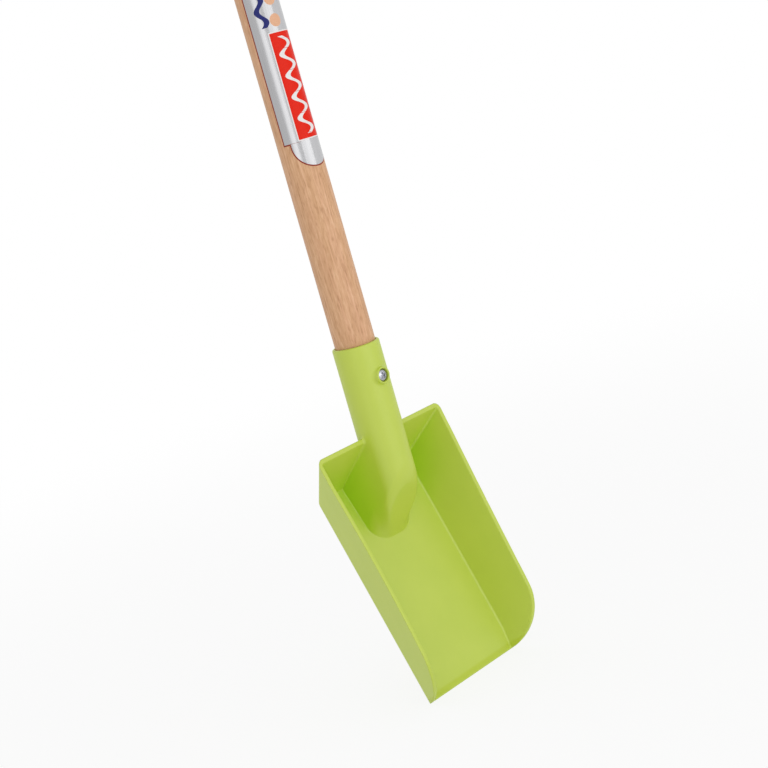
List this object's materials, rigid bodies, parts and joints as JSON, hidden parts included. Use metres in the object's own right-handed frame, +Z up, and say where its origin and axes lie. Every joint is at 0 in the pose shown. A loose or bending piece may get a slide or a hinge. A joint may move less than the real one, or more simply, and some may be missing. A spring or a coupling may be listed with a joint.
{
  "type": "sand shovel",
  "caption": "Child's sand shovel: moulded plastic scoop with raised side walls and a socket blended into its floor, screwed to a round wooden handle with a wrap label.",
  "frame": {"origin": "middle of the socket's mouth, on the axis of the handle", "axes": "+Z up along the handle, open side of the scoop towards -Y, +X across the scoop"},
  "size_m": [0.1046, 0.064, 0.7466],
  "materials": {
    "blade_plastic": "lime green moulded plastic, satin",
    "handle_wood": "pale sanded beech, thin clear finish",
    "screw_metal": "bright zinc plating",
    "label_foil": "silver foil with a plain red panel"
  },
  "bodies": {
    "root": {"blade": "blade_plastic", "handle": "handle_wood", "screw": "screw_metal", "label": "label_foil"}
  },
  "joints": []
}
